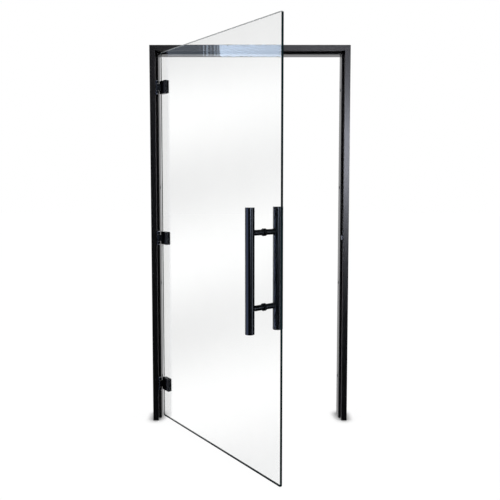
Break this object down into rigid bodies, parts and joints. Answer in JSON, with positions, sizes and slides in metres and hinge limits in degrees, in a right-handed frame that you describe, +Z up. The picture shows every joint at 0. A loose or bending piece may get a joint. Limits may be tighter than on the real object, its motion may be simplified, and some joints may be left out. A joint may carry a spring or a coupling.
{
  "type": "framed glass door",
  "caption": "Clear glass door leaf with black clamp hinges and back-to-back tubular pull handle, swinging in a slim black aluminium frame with a rebate seal and roller catch",
  "frame": {"origin": "on the floor, at mid-width of the frame, in the plane of the frame's front face", "axes": "+X right seen from the front, +Y back through the frame, +Z up; the leaf is hung on the left and opens towards -Y"},
  "size_m": [0.99, 0.8258, 1.89],
  "materials": {
    "black_aluminium": "satin black anodised",
    "bare_aluminium": "mill finish",
    "black_steel": "satin black powder coat",
    "steel": "plain",
    "clear_glass": "clear toughened, polished edges",
    "seal_rubber": "matt black",
    "black_plastic": "matt black",
    "clear_nylon": "natural"
  },
  "bodies": {
    "frame": {"catch_case": "steel", "catch_face_plate": "black_steel", "catch_screws": "black_steel", "catch_spring": "steel", "corner_cleat_screws": "steel", "head_rail": "black_aluminium", "head_seal": "seal_rubber", "hinge_bracket_screws": "black_steel", "hinge_jamb": "black_aluminium", "hinge_jamb_hole_plugs": "black_plastic", "hinge_nut_plates": "steel", "hinge_side_seal": "seal_rubber", "left_corner_cleat": "bare_aluminium", "lower_hinge_bracket": "black_steel", "lower_hinge_pin": "steel", "middle_hinge_bracket": "black_steel", "middle_hinge_pin": "steel", "right_corner_cleat": "bare_aluminium", "strike_jamb": "black_aluminium", "strike_jamb_hole_plugs": "black_plastic", "strike_side_seal": "seal_rubber", "upper_hinge_bracket": "black_steel", "upper_hinge_pin": "steel"},
    "leaf": {"clamp_screw_sleeves": "black_plastic", "glass_panel": "clear_glass", "handle_glass_sleeves": "black_plastic", "handle_rosettes": "black_steel", "handle_studs": "steel", "handle_washers": "seal_rubber", "hinge_bushes": "clear_nylon", "hinge_clamp_screws": "black_steel", "inner_bar_caps": "black_steel", "inner_handle_posts": "black_steel", "inner_pull_bar": "black_steel", "lower_hinge_inner_pad": "seal_rubber", "lower_hinge_inner_plate": "black_steel", "lower_hinge_outer_pad": "seal_rubber", "lower_hinge_outer_plate": "black_steel", "middle_hinge_inner_pad": "seal_rubber", "middle_hinge_inner_plate": "black_steel", "middle_hinge_outer_pad": "seal_rubber", "middle_hinge_outer_plate": "black_steel", "outer_bar_caps": "black_steel", "outer_handle_posts": "black_steel", "outer_pull_bar": "black_steel", "upper_hinge_inner_pad": "seal_rubber", "upper_hinge_inner_plate": "black_steel", "upper_hinge_outer_pad": "seal_rubber", "upper_hinge_outer_plate": "black_steel"},
    "catch_plunger": {"catch_plunger": "black_plastic", "catch_roller_pin": "steel"},
    "catch_roller": {"catch_roller": "steel"}
  },
  "joints": [
    {"name": "door_swing", "type": "hinge", "parent": "frame", "child": "leaf", "pos_m": [-0.4565, 0, 0.9385], "axis": [0, 0, -1], "range_deg": [-52.6, 57.4]},
    {"name": "catch_slide", "type": "slide", "parent": "frame", "child": "catch_plunger", "axis": [1, 0, 0], "range_m": [0, 0.005], "stiffness_N_per_m": 1500, "springref_m": -0.004, "deforming": ["catch_spring"]},
    {"name": "roller_spin", "type": "hinge", "parent": "catch_plunger", "child": "catch_roller", "pos_m": [0.466, 0.0165, 0.9385], "axis": [0, 0, 1], "continuous": true}
  ]
}
